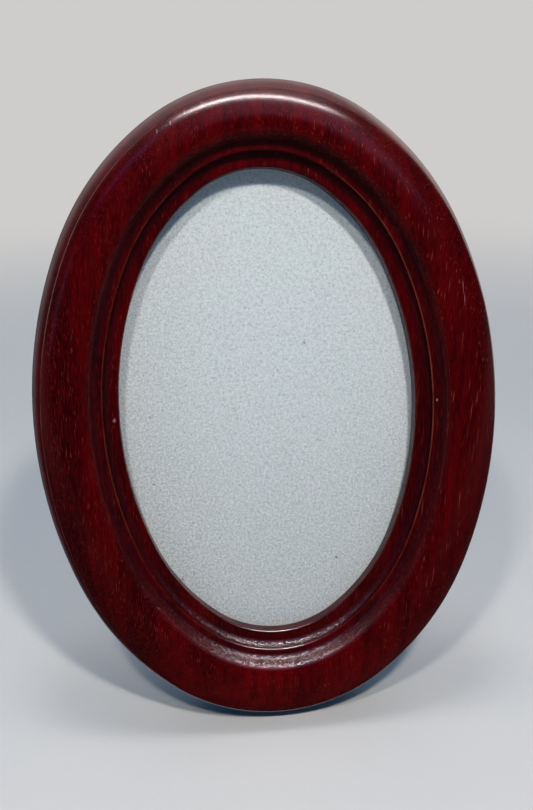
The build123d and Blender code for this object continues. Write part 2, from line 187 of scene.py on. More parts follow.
PRINT_HALF_HEIGHT = max(point.y for point in glass_corners())
SIGHT_HALF_WIDTH = PRINT_HALF_WIDTH - LIP_COVER
SIGHT_HALF_HEIGHT = PRINT_HALF_HEIGHT - LIP_COVER


# The moulding's mesh

def oval_arcs():
    """Eight tangent arcs that follow the sight edge: centre x and y, radius, first and last angle."""
    side = SIDE_RADIUS_SHARE * SIGHT_HALF_HEIGHT**2 / SIGHT_HALF_WIDTH
    shoulder = sqrt(SIGHT_HALF_WIDTH * SIGHT_HALF_HEIGHT)
    end = END_RADIUS_SHARE * SIGHT_HALF_WIDTH**2 / SIGHT_HALF_HEIGHT
    side_x = SIGHT_HALF_WIDTH - side
    end_y = SIGHT_HALF_HEIGHT - end
    first_link = side - shoulder
    second_link = shoulder - end
    reach = hypot(side_x, end_y)
    bend = acos((first_link**2 + reach**2 - second_link**2) / (2 * first_link * reach))
    low = atan2(end_y, -side_x) - bend
    shoulder_x = side_x + first_link * cos(low)
    shoulder_y = first_link * sin(low)
    high = atan2(end_y - shoulder_y, -shoulder_x)
    half_turn = radians(180)
    turn = radians(360)
    return [
        (side_x, 0, side, -low, low),
        (shoulder_x, shoulder_y, shoulder, low, high),
        (0, end_y, end, high, half_turn - high),
        (-shoulder_x, shoulder_y, shoulder, half_turn - high, half_turn - low),
        (-side_x, 0, side, half_turn - low, half_turn + low),
        (-shoulder_x, -shoulder_y, shoulder, half_turn + low, half_turn + high),
        (0, -end_y, end, half_turn + high, turn - high),
        (shoulder_x, -shoulder_y, shoulder, turn - high, turn - low),
    ]


def oval_stations():
    """Even steps round the oval: the arc's centre and radius, and the way the rail faces there."""
    stations = []
    for x, y, radius, first, last in oval_arcs():
        steps = ceil((last - first) * (radius + RAIL_WIDTH / 2) / STATION_LENGTH)
        for step in range(steps):
            stations.append((x, y, radius, first + (last - first) * step / steps))
    return stations


def line(start, end, count):
    """Points from the start up to, and without, the end."""
    return [tuple(a + (b - a) * i / count for a, b in zip(start, end)) for i in range(count)]


def arc(centre, radius, first, last, count):
    """Points on an arc, in degrees, from its start up to, and without, its end."""
    angles = [radians(first + (last - first) * i / count) for i in range(count)]
    return [(centre[0] + radius * cos(angle), centre[1] + radius * sin(angle)) for angle in angles]


def outward_part(shift, angle):
    """How far a shift of the picture moves the rail outward, where it faces that way."""
    return shift[0] * cos(angle) + shift[1] * sin(angle)


def rail_width(angle):
    """The rail's width, where it faces that way, from the sight edge of an even rail."""
    swell = OUTSIDE_SWELL * max(cos(angle - OUTSIDE_SWELL_ANGLE), 0) ** OUTSIDE_SWELL_POWER
    return RAIL_WIDTH - OUTSIDE_SLIM * (1 - min(sin(angle), 0) ** 2) + swell


def edge_inset(angle):
    """How wide the rounded edge outside the face is, where the rail faces that way."""
    face_end = RAIL_WIDTH - EDGE_INSET + outward_part(FACE_SHIFT, angle) + outward_part(INNER_SHIFT, angle)
    return max(rail_width(angle) - face_end, EDGE_LEAST)


def fading(points):
    """Points with a share each that rises from 0 at the run's ends to 1 between them."""
    return [(x, y, sin(radians(180) * index / len(points))) for index, (x, y) in enumerate(points)]


def falling(points):
    """Points with a share each that falls along the run from 1 towards 0."""
    return [(x, y, 1 - index / len(points)) for index, (x, y) in enumerate(points)]


def even(points):
    """Points with a full share each."""
    return [(x, y, 1.0) for x, y in points]


def arris_runs(inner, low, top, steps):
    """An upright wall from a low point, and the rounded arris at its top."""
    wall = line((inner, low), (inner, top - ARRIS_ROUND), steps)
    arris = arc((inner + ARRIS_ROUND, top - ARRIS_ROUND), ARRIS_ROUND, 180, 90, ARRIS_STEPS)
    return [(even(wall), PLAIN), (fading(arris), WORN)]


def stepped_runs(inner):
    """The two steps inside the face, each a wall, a fillet and a cove, and where the second cove starts."""
    fillet_end = inner + LOWER_FILLET
    arris_x = fillet_end + LOWER_COVE
    cove_end = SIGHT_DEPTH + LOWER_COVE
    arris = cove_end + LOWER_RISER
    upper_end = arris_x + UPPER_FILLET
    lower_fillet = line((inner + ARRIS_ROUND, SIGHT_DEPTH), (fillet_end, SIGHT_DEPTH), FILLET_STEPS)
    lower_cove = arc((fillet_end, cove_end), LOWER_COVE, -90, 0, COVE_STEPS)
    upper_fillet = line((arris_x + ARRIS_ROUND, arris), (upper_end, arris), FILLET_STEPS)
    upper_cove = arc((upper_end, arris + UPPER_COVE), UPPER_COVE, -90, -STEP_LEAN, COVE_STEPS)
    runs = arris_runs(inner, RABBET_DEPTH, SIGHT_DEPTH, WALL_STEPS)
    runs += [(even(lower_fillet), PLAIN), (fading(lower_cove), HOLLOW)]
    runs += arris_runs(arris_x, cove_end, arris, RISER_STEPS)
    runs += [(even(upper_fillet), PLAIN), (fading(upper_cove), HOLLOW)]
    return runs, upper_end, arris + UPPER_COVE


def face_runs(upper_end, cove_top, face_end):
    """The leaning step, the rounded start of the face and its two flanks, and the height of its crest."""
    face_start = upper_end + UPPER_COVE
    face_radius = (FACE_OUTER**2 + FACE_DROP**2) / (2 * FACE_DROP)
    crest_x = face_start + FACE_INNER
    crest = cove_top + UPPER_RISER + face_radius - sqrt(face_radius**2 - FACE_INNER**2)
    face_middle = (crest_x, crest - face_radius)
    round_x = face_start + FACE_ROUND
    round_y = face_middle[1] + sqrt((face_radius - FACE_ROUND) ** 2 - (round_x - crest_x) ** 2)
    face_first = degrees(atan2(round_y - face_middle[1], round_x - crest_x))
    step_side = cos(radians(STEP_LEAN))
    step_rise = sin(radians(STEP_LEAN))
    cove_end = (upper_end + UPPER_COVE * step_side, cove_top - UPPER_COVE * step_rise)
    round_start = (round_x - FACE_ROUND * step_side, round_y + FACE_ROUND * step_rise)
    shoulder_reach = face_end - crest_x
    shoulder = (shoulder_reach**2 + FACE_DROP**2) / (2 * FACE_DROP)
    face_last = degrees(atan2(shoulder - FACE_DROP, shoulder_reach))
    step = line(cove_end, round_start, RISER_STEPS)
    start = arc((round_x, round_y), FACE_ROUND, 180 - STEP_LEAN, face_first, ROUND_STEPS)
    inner_flank = arc(face_middle, face_radius, face_first, 90, FACE_STEPS)
    outer_flank = arc((crest_x, crest - shoulder), shoulder, 90, face_last, FACE_STEPS)
    runs = [
        (even(step), OPEN),
        (falling(start), OPEN),
        (even(inner_flank), PLAIN),
        (even(outer_flank), PLAIN),
    ]
    return runs, crest


def outer_runs(outer, inset, inner, face_foot):
    """The quirk with its ledge, the rounded edge, the outside, the back and the rabbet."""
    face_end = outer - inset
    quirk = face_foot - QUIRK_STEP
    ledge = min(LEDGE_WIDTH, LEDGE_SHARE * inset)
    edge_round = (inset - ledge) / (1 - sin(radians(EDGE_TILT)))
    flank = quirk - edge_round * cos(radians(EDGE_TILT))
    rabbet = LIP_COVER + RABBET_PLAY
    back_arris = arc((outer - BACK_ROUND, BACK_ROUND), BACK_ROUND, 0, -90, ARRIS_STEPS)
    return [
        (even(line((face_end, face_foot), (face_end, quirk), LEDGE_STEPS)), PLAIN),
        (even(line((face_end, quirk), (face_end + ledge, quirk), LEDGE_STEPS)), GROOVE),
        (even(arc((outer - edge_round, flank), edge_round, 90 - EDGE_TILT, 0, EDGE_STEPS)), EDGE),
        (even(line((outer, flank), (outer, BACK_ROUND), WALL_STEPS)), PLAIN),
        (fading(back_arris), WORN),
        (even(line((outer - BACK_ROUND, 0), (rabbet, 0), BACK_STEPS)), PLAIN),
        (even(line((rabbet, 0), (rabbet, RABBET_DEPTH), RISER_STEPS)), PLAIN),
        (even(line((rabbet, RABBET_DEPTH), (inner, RABBET_DEPTH), RISER_STEPS)), PLAIN),
    ]


def moulding_section(angle):
    """Round the rail's section: distance outward, depth forward, and what it is by how much."""
    inset = edge_inset(angle)
    outer = rail_width(angle)
    inner = outward_part(INNER_SHIFT, angle)
    runs, upper_end, cove_top = stepped_runs(inner)
    face, crest = face_runs(upper_end, cove_top, outer - inset)
    runs = runs + face + outer_runs(outer, inset, inner, crest - FACE_DROP)
    return [(x, y, kind, share) for points, kind in runs for x, y, share in points]


def standing(points):
    """Picture points in the row frame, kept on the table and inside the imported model's box."""
    world = np.array(points) @ np.array(PICTURE.to_3x3()).T + np.array(PICTURE.translation)
    return np.clip(world, np.array(CAD_BOX[0]), np.array(CAD_BOX[1]))


def grid_faces(rows, columns):
    """Quads of a grid that closes on itself both ways."""
    faces = []
    for row in range(rows):
        following = (row + 1) % rows
        for column in range(columns):
            beside = (column + 1) % columns
            faces.append((
                row * columns + column,
                following * columns + column,
                following * columns + beside,
                row * columns + beside,
            ))
    return faces


def set_attribute(mesh, name, values):
    """A number for each point of the mesh, which its material reads."""
    attribute = mesh.attributes.new(name, "FLOAT", "POINT")
    attribute.data.foreach_set("value", np.asarray(values, np.float32))


def piece(name, mesh, slot, body, *nodes):
    """A piece of the frame with its slot's material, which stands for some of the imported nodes."""
    mesh.shade_smooth()
    mesh.set_sharp_from_angle(angle=SHARP_ANGLE)
    mesh.materials.append(MATERIALS[slot])
    made = bpy.data.objects.new(name, mesh)
    bpy.context.scene.collection.objects.link(made)
    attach(made, body)
    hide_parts(*nodes)


def station_point(station, outward, depth):
    """A point at a distance outward from the sight edge, and a depth, at a station."""
    x, y, radius, angle = station
    return (x + (radius + outward) * cos(angle), y + (radius + outward) * sin(angle), depth)


def wood_moulding():
    """The moulding, swept as a fine mesh."""
    stations = oval_stations()
    sections = [moulding_section(angle) for *place, angle in stations]
    points = []
    for index in range(len(sections[0])):
        for station, section in zip(stations, sections):
            points.append(station_point(station, *section[index][:2]))
    mesh = bpy.data.meshes.new("moulding")
    mesh.from_pydata(standing(points), [], grid_faces(len(sections[0]), len(stations)))
    for wanted in (WORN, HOLLOW, GROOVE, OPEN, EDGE):
        shares = [share if kind == wanted else 0.0 for *place, kind, share in sections[0]]
        set_attribute(mesh, wanted, np.repeat(shares, len(stations)))
    piece("moulding", mesh, "stained_wood", "frame", "oval_moulding")


def glass():
    """The pane, with its ground arris, lying a hair clear of the paper."""
    stations = oval_stations()
    back = RABBET_DEPTH - GLASS_THICKNESS + GLASS_CLEAR
    front = RABBET_DEPTH - GLASS_CLEAR
    rim = [
        (LIP_COVER - GLASS_ARRIS, front),
        (LIP_COVER, front - GLASS_ARRIS),
        (LIP_COVER, back + GLASS_ARRIS),
        (LIP_COVER - GLASS_ARRIS, back),
    ]
    points = [station_point(station, outward, depth) for outward, depth in rim for station in stations]
    count = len(stations)
    faces = grid_faces(len(rim), count)[: (len(rim) - 1) * count]
    faces.append(tuple(range(count)))
    faces.append(tuple(reversed(range((len(rim) - 1) * count, len(rim) * count))))
    mesh = bpy.data.meshes.new("glass")
    mesh.from_pydata(standing(points), [], faces)
    piece("glass", mesh, "clear_glass", "frame", "glass_pane")


# Material graphs

class Graph:
    """A material's nodes, with a short call for each kind that the materials here use."""

    def __init__(self, name):
        self.material = bpy.data.materials.new(name)
        self.material.use_nodes = True
        self.tree = self.material.node_tree
        self.shader = self.tree.nodes["Principled BSDF"]
        self.output = self.tree.nodes["Material Output"]
        self.place = self.picture_coordinates()

    def node(self, kind, **settings):
        """A new node of a kind, with its settings."""
        made = self.tree.nodes.new(kind)
        for name, value in settings.items():
            setattr(made, name, value)
        return made

    def join(self, value, socket):
        """Sets a socket to a constant, or links another node's output to it."""
        if isinstance(value, bpy.types.NodeSocket):
            self.tree.links.new(value, socket)
        else:
            socket.default_value = value

    def set(self, **values):
        """Sets the main shader's sockets, named with _ for a space."""
        for name, value in values.items():
            self.join(value, self.shader.inputs[name.replace("_", " ")])

    def picture_coordinates(self):
        """Coordinates along the picture: x to the right, y up and z forward."""
        mapping = self.node("ShaderNodeMapping")
        self.join(self.node("ShaderNodeTexCoord").outputs["Object"], mapping.inputs["Vector"])
        back = PICTURE.inverted()
        mapping.inputs["Location"].default_value = back.translation
        mapping.inputs["Rotation"].default_value = back.to_euler()
        return mapping.outputs["Vector"]

    def axes(self):
        """The picture's x, y and z, each on its own."""
        parts = self.node("ShaderNodeSeparateXYZ")
        self.join(self.place, parts.inputs["Vector"])
        return [parts.outputs[axis] for axis in "XYZ"]

    def spread(self, sizes, shift=0.0):
        """Picture coordinates in which a feature of the given size along x, y and z is one unit."""
        mapping = self.node("ShaderNodeMapping")
        self.join(self.place, mapping.inputs["Vector"])
        mapping.inputs["Location"].default_value = (shift, shift, shift)
        mapping.inputs["Scale"].default_value = [1 / size for size in sizes]
        return mapping.outputs["Vector"]

    def noise(self, sizes, detail=2.0, roughness=0.5, distortion=0.0, shift=0.0):
        """Soft noise from 0 to 1 whose spots have the given sizes in metres."""
        made = self.node("ShaderNodeTexNoise", noise_dimensions="4D")
        self.join(self.spread(sizes), made.inputs["Vector"])
        made.inputs["W"].default_value = shift
        made.inputs["Scale"].default_value = 1.0
        made.inputs["Detail"].default_value = detail
        made.inputs["Roughness"].default_value = roughness
        made.inputs["Distortion"].default_value = distortion
        return made.outputs["Fac"]

    def patches(self, sizes, edges, **settings):
        """Noise as soft patches, 0 below the first edge and 1 above the second."""
        return self.between(self.noise(sizes, **settings), *edges)

    def cells(self, sizes, shift=0.0):
        """Scattered centres about the given sizes apart: the distance to the nearest, and its own number."""
        made = self.node("ShaderNodeTexVoronoi")
        self.join(self.spread(sizes, shift), made.inputs["Vector"])
        made.inputs["Scale"].default_value = 1.0
        own = self.node("ShaderNodeSeparateColor")
        self.join(made.outputs["Color"], own.inputs["Color"])
        return made.outputs["Distance"], own.outputs["Red"]

    def spots(self, sizes, shift, rim, chosen):
        """Scattered spots: each grows from the rim's first value to its second, if chosen by its number."""
        distance, own = self.cells(sizes, shift)
        return self.times(self.between(distance, *rim), self.between(own, *chosen))

    def between(self, value, low, high):
        """Runs smoothly from 0 to 1 as the value goes from low to high."""
        made = self.node("ShaderNodeMapRange", interpolation_type="SMOOTHSTEP")
        self.join(value, made.inputs["Value"])
        made.inputs["From Min"].default_value = low
        made.inputs["From Max"].default_value = high
        return made.outputs["Result"]

    def lerp(self, value, low, high):
        """Runs from low to high as the value goes from 0 to 1."""
        made = self.node("ShaderNodeMapRange")
        self.join(value, made.inputs["Value"])
        made.inputs["To Min"].default_value = low
        made.inputs["To Max"].default_value = high
        return made.outputs["Result"]

    def math(self, operation, first, second=0.0):
        """One sum of two values."""
        made = self.node("ShaderNodeMath", operation=operation)
        self.join(first, made.inputs[0])
        self.join(second, made.inputs[1])
        return made.outputs["Value"]

    def times(self, first, *others):
        """The product of some values."""
        for other in others:
            first = self.math("MULTIPLY", first, other)
        return first

    def plus(self, first, *others):
        """The sum of some values."""
        for other in others:
            first = self.math("ADD", first, other)
        return first

    def most(self, first, second):
        """The larger of two values."""
        return self.math("MAXIMUM", first, second)

    def mix(self, share, first, second):
        """A colour between two colours."""
        made = self.node("ShaderNodeMix", data_type="RGBA")
        self.join(share, made.inputs["Factor"])
        self.join(first, made.inputs["A"])
        self.join(second, made.inputs["B"])
        return made.outputs["Result"]

    def mix_shaders(self, share, first, second):
        """Shows two shaders on the surface, the second by a share."""
        both = self.node("ShaderNodeMixShader")
        self.join(share, both.inputs["Fac"])
        self.join(first, both.inputs[1])
        self.join(second, both.inputs[2])
        self.join(both.outputs["Shader"], self.output.inputs["Surface"])

    def attribute(self, name):
        """A number that the mesh carries."""
        return self.node("ShaderNodeAttribute", attribute_name=name).outputs["Fac"]

    def facing(self, axis):
        """How squarely the surface faces along an axis of the picture, from -1 to 1."""
        made = self.node("ShaderNodeVectorMath", operation="DOT_PRODUCT")
        self.join(self.node("ShaderNodeNewGeometry").outputs["Normal"], made.inputs[0])
        made.inputs[1].default_value = PICTURE.to_3x3().col[axis]
        return made.outputs["Value"]

    def length(self, vector):
        """How long a vector is."""
        made = self.node("ShaderNodeVectorMath", operation="LENGTH")
        self.join(vector, made.inputs[0])
        return made.outputs["Value"]

    def bump(self, height, depth, strength=1.0, under=None):
        """A normal that follows a height from 0 to 1, of the given depth in metres."""
        made = self.node("ShaderNodeBump")
        made.inputs["Strength"].default_value = strength
        made.inputs["Distance"].default_value = depth
        self.join(height, made.inputs["Height"])
        if under is not None:
            self.join(under, made.inputs["Normal"])
        return made.outputs["Normal"]


# The wood's grain: how wide, high and deep its marks are
BOARD_GRAIN = (8 * MM, 95 * MM, 8 * MM)
STREAK_GRAIN = (1.8 * MM, 38 * MM, 1.8 * MM)
HAIR_GRAIN = (0.25 * MM, 4 * MM, 0.25 * MM)
FLECK_CLUSTER = (7 * MM, 24 * MM, 7 * MM)
SHORT_FLECK = (0.3 * MM, 3.4 * MM, 0.3 * MM)
LONG_FLECK = (0.36 * MM, 17 * MM, 0.36 * MM)
SHORT_FLECK_SHARE = 0.32
LONG_FLECK_SHARE = 0.26
FLECK_CORE_SHARE = 0.4
FIBRE_GRAIN = (0.3 * MM, 7 * MM, 0.3 * MM)
FIBRE_DEPTH = 0.03 * MM
PORE_DEPTH = 0.02 * MM
TORN_GRAIN = (0.7 * MM, 1.3 * MM, 0.7 * MM)
TORN_DEPTH = 0.9 * MM

# The grain leans on the right-hand side and wavers everywhere
GRAIN_LEAN_SHARE = 0.12
GRAIN_LEAN_REACH = 50 * MM
GRAIN_WAVER = 1.2 * MM
GRAIN_WAVER_SIZES = (30 * MM, 60 * MM, 30 * MM)

# The stain, from dark to bright, and where on the picture painted light makes it brighter
STAIN_DARK = colour(0.017, 0.0001, 0.0004)
STAIN_BRIGHT = colour(0.085, 0.0002, 0.0012)
STREAK_RED = colour(0.011, 0.0001, 0.0004)
HAIR_RED = colour(0.1, 0.0008, 0.0018)
SHORT_FLECK_RED = colour(0.2, 0.022, 0.012)
LONG_FLECK_RED = colour(0.26, 0.05, 0.023)
RIGHTWARD = (-10 * MM, 45 * MM)
FOOT = (-68 * MM, -86 * MM)
HEAD = (35 * MM, 75 * MM)
BOARD_SHARE = 0.5
# Painted light: shares by which the stain is painted brighter towards the right, at the foot and at the head
RIGHTWARD_PAINTED_LIGHT = 0.08
FOOT_PAINTED_LIGHT = 0.55
HEAD_PAINTED_LIGHT = 0.15

# Wear on the wood, painted shade in the coves, a pale ledge, painted sheen on the edge, a painted highlight on the
# rim, and where on the picture they are
# Painted shade that darkens the coves
COVE_PAINTED_SHADE = colour(0.01, 0.0006, 0.0016)
RUBBED_ORANGE = colour(0.22, 0.06, 0.032)
# A pale line along the ledge
LEDGE_PALE = colour(0.27, 0.17, 0.14)
# Painted sheen on the edge where it turns away from the front
EDGE_PAINTED_SHEEN = colour(0.17, 0.11, 0.1)
# Painted highlight on the rim underneath and at the upper right
RIM_PAINTED_LIGHT = colour(0.6, 0.5, 0.41)
NICK_PALE = colour(0.42, 0.28, 0.3)
RUBBED_RIGHT = (12 * MM, 36 * MM)
RUBBED_LEFT = (-12 * MM, -36 * MM)
RUBBED_LEFT_SHARE = 0.4
RUBBED_ABOVE = (-62 * MM, -22 * MM)
RUBBED_GAPS = (2 * MM, 9 * MM, 2 * MM)
# Where the painted highlight on the rim reaches at the right, and its share
RIM_LIGHT_RIGHT = (-15 * MM, 15 * MM)
RIM_LIGHT_RIGHT_SHARE = 0.35
# Patches that break up the pale ledge and the painted sheen on the edge
PALE_PATCH = (6 * MM, 9 * MM, 6 * MM)

# Knocks in the lacquer: x and y on the picture, width and height
NICKS = (
    (-25.5 * MM, 82.5 * MM, 0.5 * MM, 1.9 * MM),
    (-21.4 * MM, 85.8 * MM, 0.3 * MM, 2.2 * MM),
    (-29.4 * MM, 80.3 * MM, 0.4 * MM, 2.0 * MM),
    (-16.4 * MM, 88.2 * MM, 0.6 * MM, 0.6 * MM),
    (50.8 * MM, -0.6 * MM, 0.7 * MM, 1.1 * MM),
    (12.8 * MM, -85.7 * MM, 0.4 * MM, 0.5 * MM),
    (-46.4 * MM, -2.1 * MM, 1.2 * MM, 1.5 * MM),
    (58.1 * MM, 33.4 * MM, 0.24 * MM, 5.6 * MM),
    (58.5 * MM, 29.6 * MM, 0.24 * MM, 5.0 * MM),
)
NICK_DEPTH = 15 * MM
NICK_DEPTH_SPAN = 20 * MM
NICK_RAGGED = (0.4 * MM, 0.7 * MM, 0.4 * MM)
NICK_WAVER_SHARE = 0.5

# The lacquer: satin, rougher where it was carved, on the edge and on open end grain, and pooled in the
# carving at the foot
WOOD_GLOSS = 0.09
LACQUER_ROUGHNESS = (0.17, 0.31)
EDGE_ROUGHNESS = (0.2, 0.7)
CARVED_ROUGHNESS = 0.1
OPEN_END_ROUGHNESS = 0.12
POOLED_ROUGHNESS = 0.24
POOLED_REACH = (30 * MM, 6 * MM)


def lean_grain(graph):
    """Leans the grain to the right, going up, on the right-hand side, and makes it waver a little."""
    x, y, z = graph.axes()
    rightward = graph.between(x, 0.0, GRAIN_LEAN_REACH)
    lean = graph.times(y, GRAIN_LEAN_SHARE, rightward)
    waver = graph.lerp(graph.noise(GRAIN_WAVER_SIZES, shift=41.0), -GRAIN_WAVER, GRAIN_WAVER)
    joined = graph.node("ShaderNodeCombineXYZ")
    graph.join(graph.plus(graph.math("SUBTRACT", x, lean), waver), joined.inputs["X"])
    graph.join(y, joined.inputs["Y"])
    graph.join(z, joined.inputs["Z"])
    graph.place = joined.outputs["Vector"]
    return x, y, z


def flecks(graph, sizes, radius_share, shift):
    """Short pale pores along the grain, some stronger than others."""
    rim = (radius_share, FLECK_CORE_SHARE * radius_share)
    return graph.spots(sizes, shift, rim, chosen=(0.2, 1.0))


def pore_shares(graph, rightward):
    """Where the short pores show, mostly at the left, and the long ones, mostly at the right."""
    cluster = graph.noise(FLECK_CLUSTER, shift=17.0)
    short = flecks(graph, SHORT_FLECK, SHORT_FLECK_SHARE, 11.0)
    short = graph.times(short, graph.lerp(graph.between(cluster, 0.3, 0.65), 0.3, 0.9))
    short = graph.times(short, graph.lerp(rightward, 1.0, 0.35))
    long = flecks(graph, LONG_FLECK, LONG_FLECK_SHARE, 29.0)
    long = graph.times(long, graph.between(cluster, 0.25, 0.6))
    long = graph.times(long, graph.lerp(rightward, 0.25, 1.0))
    return short, long


def stain(graph, x, y):
    """The stain's colour, with upright grain from broad tone down to single pores and painted light that brightens
    it towards the right, at the foot and at the head, and the pores alone.
    """
    board = graph.patches(BOARD_GRAIN, edges=(0.36, 0.64), distortion=0.5)
    streak = graph.patches(STREAK_GRAIN, edges=(0.4, 0.68), detail=4.0, roughness=0.6, shift=3.0)
    hair = graph.patches(HAIR_GRAIN, edges=(0.45, 0.7), shift=5.0)
    rightward = graph.between(x, *RIGHTWARD)
    # Painted light: the stain is brighter towards the right, at the foot and at the head
    bright = graph.plus(
        graph.times(board, BOARD_SHARE),
        graph.times(rightward, RIGHTWARD_PAINTED_LIGHT),
        graph.times(graph.between(y, *FOOT), FOOT_PAINTED_LIGHT),
        graph.times(graph.between(y, *HEAD), HEAD_PAINTED_LIGHT),
    )
    short, long = pore_shares(graph, rightward)
    tone = graph.mix(bright, STAIN_DARK, STAIN_BRIGHT)
    tone = graph.mix(graph.times(streak, 0.7), tone, STREAK_RED)
    tone = graph.mix(graph.times(hair, 0.65), tone, HAIR_RED)
    tone = graph.mix(short, tone, SHORT_FLECK_RED)
    tone = graph.mix(long, tone, LONG_FLECK_RED)
    return tone, graph.most(short, long)


def nick_marks(graph):
    """Small pale knocks and a scratch in the lacquer, with ragged edges."""
    ragged = graph.noise(NICK_RAGGED, shift=43.0)
    ragged = graph.lerp(ragged, 1 - NICK_WAVER_SHARE, 1 + NICK_WAVER_SHARE)
    marks = 0.0
    for x, y, width, height in NICKS:
        mapping = graph.node("ShaderNodeMapping", vector_type="TEXTURE")
        graph.join(graph.place, mapping.inputs["Vector"])
        mapping.inputs["Location"].default_value = (x + INNER_SHIFT[0], y + INNER_SHIFT[1], NICK_DEPTH)
        mapping.inputs["Scale"].default_value = (width / 2, height / 2, NICK_DEPTH_SPAN / 2)
        distance = graph.times(graph.length(mapping.outputs["Vector"]), ragged)
        marks = graph.most(marks, graph.between(distance, 1.1, 0.4))
    return marks


def rubbed_sides(graph, x, y, z):
    """Where the arrises have been rubbed: the middle one at the right, less at the left, hardly elsewhere."""
    right = graph.between(x, *RUBBED_RIGHT)
    left = graph.times(graph.between(x, *RUBBED_LEFT), RUBBED_LEFT_SHARE)
    sides = graph.lerp(graph.most(right, left), 0.04, 1.0)
    above_foot = graph.lerp(graph.between(y, *RUBBED_ABOVE), 0.12, 1.0)
    raised = graph.lerp(graph.between(z, SIGHT_DEPTH, SIGHT_DEPTH + LOWER_COVE), 0.25, 1.0)
    broken = graph.patches(RUBBED_GAPS, edges=(0.3, 0.6), detail=3.0, shift=23.0)
    return graph.times(sides, above_foot, raised, graph.lerp(broken, 0.3, 1.0))


def painted_rim_light(graph, y):
    """Where the edge gets a painted highlight: underneath, and less at the upper right."""
    under = graph.between(graph.facing(1), -0.35, -0.8)
    right = graph.times(graph.between(graph.facing(0), 0.2, 0.6), graph.between(y, *RIM_LIGHT_RIGHT))
    return graph.times(graph.attribute(EDGE), graph.most(under, graph.times(right, RIM_LIGHT_RIGHT_SHARE)))


def stain_with_wear_and_painted_light(graph, nicks, tone, x, y, z):
    """The stain with its wear and painted light: painted shade in the coves, rubbed arrises, a pale ledge, a
    painted sheen on the edge where it turns away, a painted highlight on the rim, and nicks.
    """
    hollow = graph.between(graph.attribute(HOLLOW), 0.0, 0.6)
    worn = graph.times(graph.attribute(WORN), rubbed_sides(graph, x, y, z))
    pale = graph.noise(PALE_PATCH, detail=3.0, shift=37.0)
    ledge = graph.times(graph.attribute(GROOVE), graph.lerp(graph.between(pale, 0.3, 0.6), 0.2, 0.6))
    away = graph.between(graph.facing(2), 0.85, 0.5)
    # Painted sheen: the edge is paler where it turns away from the front, in patches
    edge_sheen = graph.times(graph.attribute(EDGE), away, graph.lerp(pale, 0.3, 0.9))
    # Painted shade in the coves
    tone = graph.mix(graph.times(hollow, 0.45), tone, COVE_PAINTED_SHADE)
    tone = graph.mix(graph.times(worn, 0.55), tone, RUBBED_ORANGE)
    tone = graph.mix(ledge, tone, LEDGE_PALE)
    tone = graph.mix(edge_sheen, tone, EDGE_PAINTED_SHEEN)
    # Painted highlight on the rim
    tone = graph.mix(graph.times(painted_rim_light(graph, y), 0.85), tone, RIM_PAINTED_LIGHT)
    return graph.mix(graph.times(nicks, 0.4), tone, NICK_PALE)


def lacquer(graph, pores, x):
    """The satin lacquer: how rough it is, where it has pooled, and the relief of the grain under it."""
    fibre = graph.noise(FIBRE_GRAIN, detail=3.0, shift=7.0)
    up = graph.facing(1)
    across = graph.math("ABSOLUTE", up)
    carved = graph.most(graph.attribute(HOLLOW), graph.attribute(OPEN))
    open_end = graph.times(carved, across)
    rough = graph.plus(
        graph.lerp(fibre, *LACQUER_ROUGHNESS),
        graph.times(carved, CARVED_ROUGHNESS),
        graph.times(open_end, OPEN_END_ROUGHNESS),
        graph.times(graph.attribute(EDGE), graph.lerp(across, *EDGE_ROUGHNESS)),
    )
    graph.set(Roughness=rough, Specular_IOR_Level=WOOD_GLOSS)
    pooled = graph.most(carved, graph.attribute(WORN))
    near_foot = graph.between(graph.math("ABSOLUTE", x), *POOLED_REACH)
    pooled = graph.times(pooled, near_foot, graph.between(up, 0.15, 0.7))
    graph.set(Coat_Weight=pooled, Coat_Roughness=POOLED_ROUGHNESS)
    torn = graph.noise(TORN_GRAIN, distortion=0.8, shift=31.0)
    torn = graph.times(graph.math("SUBTRACT", torn, 0.5), open_end)
    normal = graph.bump(fibre, FIBRE_DEPTH)
    normal = graph.bump(graph.math("SUBTRACT", 1.0, pores), PORE_DEPTH, 0.6, normal)
    normal = graph.bump(torn, TORN_DEPTH, 1.0, normal)
    graph.set(Normal=normal, Coat_Normal=normal)


def stained_wood():
    """Deep red stain under a satin lacquer, worn pale along the arrises and rough on the end grain."""
    graph = Graph("stained_wood")
    nicks = nick_marks(graph)
    x, y, z = lean_grain(graph)
    tone, pores = stain(graph, x, y)
    graph.set(Base_Color=stain_with_wear_and_painted_light(graph, nicks, tone, x, y, z))
    lacquer(graph, pores, x)
    return graph.material


# The glass
GLASS_TINT = colour(0.97, 0.985, 0.98)
GLASS_IOR = 1.5
GLASS_SMEAR = (18 * MM, 30 * MM, 18 * MM)
GLASS_ROUGHNESS = (0.02, 0.09)


def clear_glass():
    """Clear glass that lets the print's light through and mirrors the room a little."""
    graph = Graph("clear_glass")
    clear = graph.node("ShaderNodeBsdfTransparent")
    clear.inputs["Color"].default_value = GLASS_TINT
    mirror = graph.node("ShaderNodeBsdfGlossy")
    smear = graph.noise(GLASS_SMEAR, detail=3.0)
    graph.join(graph.lerp(smear, *GLASS_ROUGHNESS), mirror.inputs["Roughness"])
    fresnel = graph.node("ShaderNodeFresnel")
    fresnel.inputs["IOR"].default_value = GLASS_IOR
    inside = graph.node("ShaderNodeNewGeometry").outputs["Backfacing"]
    outer = graph.times(fresnel.outputs["Fac"], graph.math("SUBTRACT", 1.0, inside))
    graph.mix_shaders(outer, clear.outputs["BSDF"], mirror.outputs["BSDF"])
    graph.tree.nodes.remove(graph.shader)
    return graph.material


